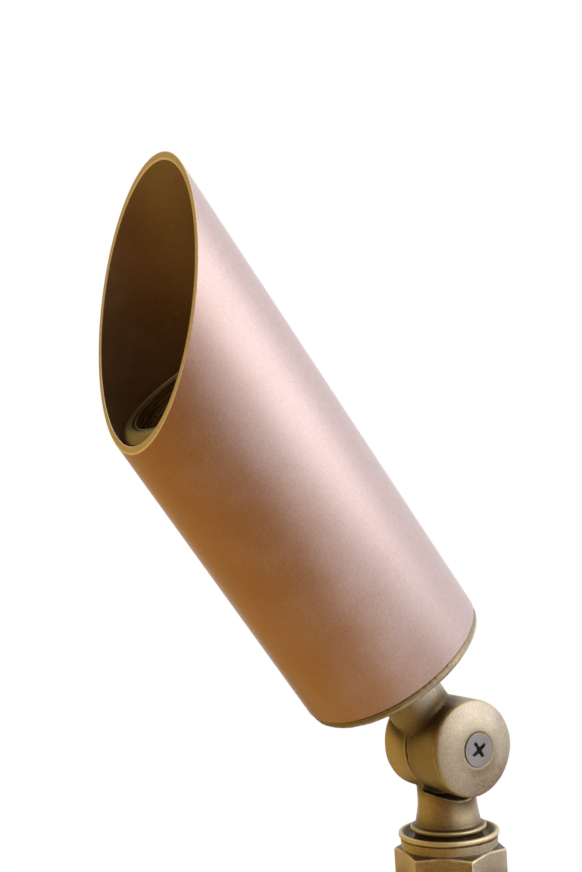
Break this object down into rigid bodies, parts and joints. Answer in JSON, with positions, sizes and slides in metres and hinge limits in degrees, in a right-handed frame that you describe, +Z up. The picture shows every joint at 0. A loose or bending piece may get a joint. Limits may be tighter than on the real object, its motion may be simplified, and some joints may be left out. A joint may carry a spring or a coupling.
{
  "type": "garden spike spotlight",
  "caption": "Round tube spotlight with a slanted mouth on a tilting disc knuckle, a hex lock nut and a ground spike.",
  "frame": {"origin": "on the stake's axis at the ground line, the underside of the ground flange", "axes": "+Z up along the stake and stem, +X along the knuckle screw towards its head, the lamp leans towards -Y"},
  "size_m": [0.06, 0.132, 0.4585],
  "materials": {
    "rose_bronze": "satin, fine grain, raw cut rim",
    "cast_bronze": "cast, antique finish, bright edges",
    "machined_brass": "turned, antique finish",
    "plain_brass": "turned, bare",
    "stainless": "satin",
    "clear_glass": "clear, polished",
    "clear_plastic": "clear",
    "rubber": "matte",
    "silicone": "matte",
    "die_cast_aluminium": "satin",
    "board_white": "matte",
    "ceramic": "unglazed ceramic",
    "lead_insulation": "matte",
    "stake_plastic": "moulded, fine texture"
  },
  "bodies": {
    "stake": {"ground_spike": "stake_plastic", "hub_thread_insert": "plain_brass", "cable_grommet": "rubber", "nut_gasket": "rubber"},
    "lower_knuckle": {"lower_knuckle_casting": "cast_bronze", "knuckle_o_ring": "rubber", "knuckle_nut": "stainless"},
    "lock_nut": {"stem_lock_nut": "machined_brass"},
    "knuckle_screw": {"knuckle_screw": "stainless"},
    "head": {"rear_cap_casting": "cast_bronze", "spigot_o_rings": "rubber", "wire_seal_plug": "silicone", "lamp_housing_sleeve": "plain_brass", "housing_seal": "rubber", "lens_gasket": "silicone", "glass_lens": "clear_glass", "lamp_heat_sink": "die_cast_aluminium", "lamp_optic": "clear_plastic", "lamp_led_board": "board_white", "lamp_base": "board_white", "lamp_pins": "plain_brass", "lamp_socket": "ceramic", "socket_contacts": "plain_brass", "socket_screws": "stainless", "socket_bracket": "stainless", "bracket_screws": "stainless", "socket_leads": "lead_insulation"},
    "shroud": {"glare_shroud": "rose_bronze", "shroud_set_screws": "stainless"},
    "bezel": {"lens_bezel": "machined_brass"}
  },
  "joints": [
    {"name": "stem_swivel", "type": "hinge", "parent": "stake", "child": "lower_knuckle", "pos_m": [0, 0, 0.034], "axis": [0, 0, 1], "range_deg": [-180, 180]},
    {"name": "lock_nut_turn", "type": "hinge", "parent": "lower_knuckle", "child": "lock_nut", "pos_m": [0, 0, 0.0405], "axis": [0, 0, 1], "continuous": true},
    {"name": "knuckle_tilt", "type": "hinge", "parent": "lower_knuckle", "child": "head", "pos_m": [0, 0, 0.0777], "axis": [1, 0, 0], "range_deg": [-140, 70]},
    {"name": "knuckle_screw_turn", "type": "hinge", "parent": "lower_knuckle", "child": "knuckle_screw", "pos_m": [0, 0, 0.0777], "axis": [1, 0, 0], "continuous": true},
    {"name": "shroud_turn", "type": "hinge", "parent": "head", "child": "shroud", "pos_m": [0, -0.01913, 0.10764], "axis": [0, -0.5736, 0.8192], "continuous": true},
    {"name": "bezel_turn", "type": "hinge", "parent": "head", "child": "bezel", "pos_m": [0, -0.07792, 0.1916], "axis": [0, -0.5736, 0.8192], "continuous": true}
  ]
}
